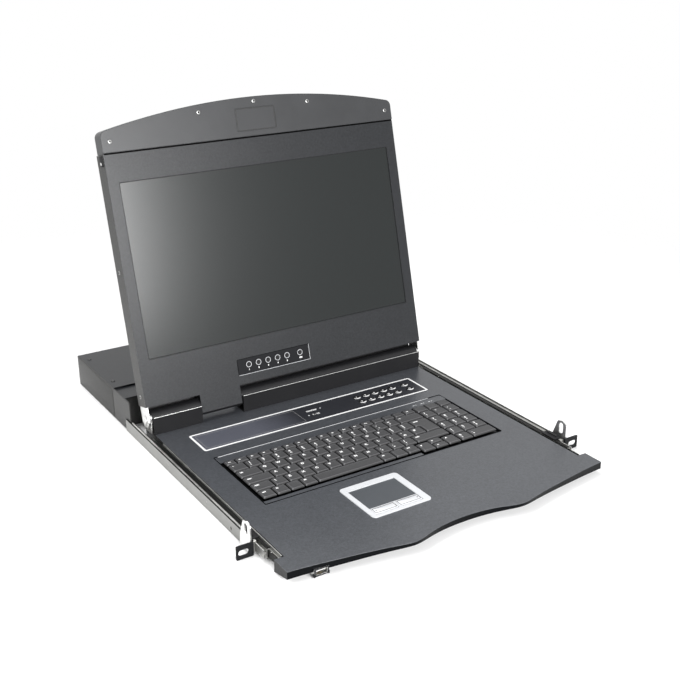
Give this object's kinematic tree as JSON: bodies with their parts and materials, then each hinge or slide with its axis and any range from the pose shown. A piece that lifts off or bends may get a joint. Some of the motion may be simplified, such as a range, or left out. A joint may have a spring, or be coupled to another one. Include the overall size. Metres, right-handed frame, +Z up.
{
  "type": "rackmount console drawer",
  "caption": "One-unit rack console drawer: slide-out keyboard and touchpad tray with a flip-up wide display, in front of a shallow switch case.",
  "frame": {"origin": "midway between the slots of the two rack ears, on the ears' rear faces, which seat on the rack's front posts", "axes": "+X right seen from the front, +Y into the rack, +Z up; the drawer runs out along -Y and the display turns about X"},
  "size_m": [0.4826, 0.6257, 0.4083],
  "materials": {
    "black_steel": "satin fine-grained black powder coat",
    "grey_steel": "satin dark grey powder coat",
    "zinc_steel": "bright zinc, faintly rolled",
    "nickel_steel": "bright nickel",
    "black_plastic": "matte black, fine spark texture",
    "key_plastic": "matte black key caps",
    "crown_plastic": "satin black, fine texture",
    "silver_plastic": "silver paint",
    "pad_plastic": "dark grey, very fine texture",
    "panel_film": "black printed film",
    "screen": "dark anti-glare screen",
    "board": "green circuit board",
    "barrel_alloy": "black anodised"
  },
  "bodies": {
    "chassis": {"side_plates": "grey_steel", "case_floor": "grey_steel", "case_deck": "black_steel", "case_cover": "black_steel", "case_screws": "nickel_steel", "rear_panel": "black_steel", "main_board": "board", "rear_ports": "nickel_steel", "power_entry": "black_plastic", "power_supply": "board", "rails": "zinc_steel", "rack_ears": "black_steel", "strike_loops": "nickel_steel", "outer_members": "zinc_steel", "slide_catches": "black_plastic"},
    "rocker": {"power_rocker": "black_plastic"},
    "mid_slides": {"mid_members": "zinc_steel"},
    "tray": {"inner_members": "zinc_steel", "tray_deck": "black_steel", "tray_pan": "black_steel", "keyboard_base": "black_plastic", "channel_panel": "panel_film", "touchpad_frame": "silver_plastic", "touchpad_plate": "pad_plastic", "tray_board": "board", "usb_socket": "nickel_steel", "hinge_covers": "black_plastic", "hinge_brackets": "nickel_steel", "hinge_pins": "nickel_steel"},
    "display": {"hinge_arms": "nickel_steel", "display_barrel": "barrel_alloy", "cable_neck": "black_plastic", "display_shell": "grey_steel", "display_bezel": "black_steel", "crown_cap": "crown_plastic", "badge_plate": "crown_plastic", "lcd_panel": "screen", "panel_mounts": "zinc_steel", "display_board": "board", "osd_plate": "panel_film", "display_screws": "nickel_steel"},
    "keys_function_row_body": {"keys_function_row": "key_plastic"},
    "keys_number_row_body": {"keys_number_row": "key_plastic"},
    "keys_upper_row_body": {"keys_upper_row": "key_plastic"},
    "keys_home_row_body": {"keys_home_row": "key_plastic"},
    "keys_lower_row_body": {"keys_lower_row": "key_plastic"},
    "keys_space_row_body": {"keys_space_row": "key_plastic"},
    "space_bar_body": {"space_bar": "key_plastic"},
    "enter_key_body": {"enter_key": "key_plastic"},
    "keys_arrows_body": {"keys_arrows": "key_plastic"},
    "keys_numpad_body": {"keys_numpad": "key_plastic"},
    "channel_keys_body": {"channel_keys": "black_plastic"},
    "touch_button_left_body": {"touch_button_left": "silver_plastic"},
    "touch_button_right_body": {"touch_button_right": "silver_plastic"},
    "osd_button_1_body": {"osd_button_1": "black_plastic"},
    "osd_button_2_body": {"osd_button_2": "black_plastic"},
    "osd_button_3_body": {"osd_button_3": "black_plastic"},
    "osd_button_4_body": {"osd_button_4": "black_plastic"},
    "osd_button_5_body": {"osd_button_5": "black_plastic"},
    "power_button_body": {"power_button": "black_plastic"}
  },
  "joints": [
    {"name": "drawer_slide", "type": "slide", "parent": "chassis", "child": "tray", "axis": [0, -1, 0], "range_m": [-0.0375, 0.2625]},
    {"name": "slide_members", "type": "slide", "parent": "chassis", "child": "mid_slides", "axis": [0, -1, 0], "range_m": [-0.01875, 0.13125]},
    {"name": "lid_hinge", "type": "hinge", "parent": "tray", "child": "display", "pos_m": [0, 0.3048, 0.0233], "axis": [-1, 0, 0], "range_deg": [-104.3, 10]},
    {"name": "mains_rocker", "type": "hinge", "parent": "chassis", "child": "rocker", "pos_m": [-0.152, 0.526, 0.0128], "axis": [-1, 0, 0], "range_deg": [0, 16]},
    {"name": "keys_function_row_press", "type": "slide", "parent": "tray", "child": "keys_function_row_body", "axis": [0, 0, -1], "range_m": [0, 0.0018], "stiffness_N_per_m": 500, "springref_m": -0.0015},
    {"name": "keys_number_row_press", "type": "slide", "parent": "tray", "child": "keys_number_row_body", "axis": [0, 0, -1], "range_m": [0, 0.0018], "stiffness_N_per_m": 500, "springref_m": -0.0015},
    {"name": "keys_upper_row_press", "type": "slide", "parent": "tray", "child": "keys_upper_row_body", "axis": [0, 0, -1], "range_m": [0, 0.0018], "stiffness_N_per_m": 500, "springref_m": -0.0015},
    {"name": "keys_home_row_press", "type": "slide", "parent": "tray", "child": "keys_home_row_body", "axis": [0, 0, -1], "range_m": [0, 0.0018], "stiffness_N_per_m": 500, "springref_m": -0.0015},
    {"name": "keys_lower_row_press", "type": "slide", "parent": "tray", "child": "keys_lower_row_body", "axis": [0, 0, -1], "range_m": [0, 0.0018], "stiffness_N_per_m": 500, "springref_m": -0.0015},
    {"name": "keys_space_row_press", "type": "slide", "parent": "tray", "child": "keys_space_row_body", "axis": [0, 0, -1], "range_m": [0, 0.0018], "stiffness_N_per_m": 500, "springref_m": -0.0015},
    {"name": "space_bar_press", "type": "slide", "parent": "tray", "child": "space_bar_body", "axis": [0, 0, -1], "range_m": [0, 0.0018], "stiffness_N_per_m": 250, "springref_m": -0.0015},
    {"name": "enter_key_press", "type": "slide", "parent": "tray", "child": "enter_key_body", "axis": [0, 0, -1], "range_m": [0, 0.0018], "stiffness_N_per_m": 250, "springref_m": -0.0015},
    {"name": "keys_arrows_press", "type": "slide", "parent": "tray", "child": "keys_arrows_body", "axis": [0, 0, -1], "range_m": [0, 0.0018], "stiffness_N_per_m": 250, "springref_m": -0.0015},
    {"name": "keys_numpad_press", "type": "slide", "parent": "tray", "child": "keys_numpad_body", "axis": [0, 0, -1], "range_m": [0, 0.0018], "stiffness_N_per_m": 500, "springref_m": -0.0015},
    {"name": "channel_keys_press", "type": "slide", "parent": "tray", "child": "channel_keys_body", "axis": [0, 0, -1], "range_m": [0, 0.0006], "stiffness_N_per_m": 900, "springref_m": -0.001},
    {"name": "touch_button_left_press", "type": "slide", "parent": "tray", "child": "touch_button_left_body", "axis": [0, 0, -1], "range_m": [0, 0.0007], "stiffness_N_per_m": 400, "springref_m": -0.001},
    {"name": "touch_button_right_press", "type": "slide", "parent": "tray", "child": "touch_button_right_body", "axis": [0, 0, -1], "range_m": [0, 0.0007], "stiffness_N_per_m": 400, "springref_m": -0.001},
    {"name": "osd_button_1_press", "type": "slide", "parent": "display", "child": "osd_button_1_body", "axis": [0, 0.969, -0.247], "range_m": [0, 0.0008], "stiffness_N_per_m": 300, "springref_m": -0.001},
    {"name": "osd_button_2_press", "type": "slide", "parent": "display", "child": "osd_button_2_body", "axis": [0, 0.969, -0.247], "range_m": [0, 0.0008], "stiffness_N_per_m": 300, "springref_m": -0.001},
    {"name": "osd_button_3_press", "type": "slide", "parent": "display", "child": "osd_button_3_body", "axis": [0, 0.969, -0.247], "range_m": [0, 0.0008], "stiffness_N_per_m": 300, "springref_m": -0.001},
    {"name": "osd_button_4_press", "type": "slide", "parent": "display", "child": "osd_button_4_body", "axis": [0, 0.969, -0.247], "range_m": [0, 0.0008], "stiffness_N_per_m": 300, "springref_m": -0.001},
    {"name": "osd_button_5_press", "type": "slide", "parent": "display", "child": "osd_button_5_body", "axis": [0, 0.969, -0.247], "range_m": [0, 0.0008], "stiffness_N_per_m": 300, "springref_m": -0.001},
    {"name": "power_button_press", "type": "slide", "parent": "display", "child": "power_button_body", "axis": [0, 0.969, -0.247], "range_m": [0, 0.0008], "stiffness_N_per_m": 300, "springref_m": -0.001}
  ],
  "couplings": [
    {"joint": "slide_members", "follows": "drawer_slide", "ratio": 0.5}
  ]
}
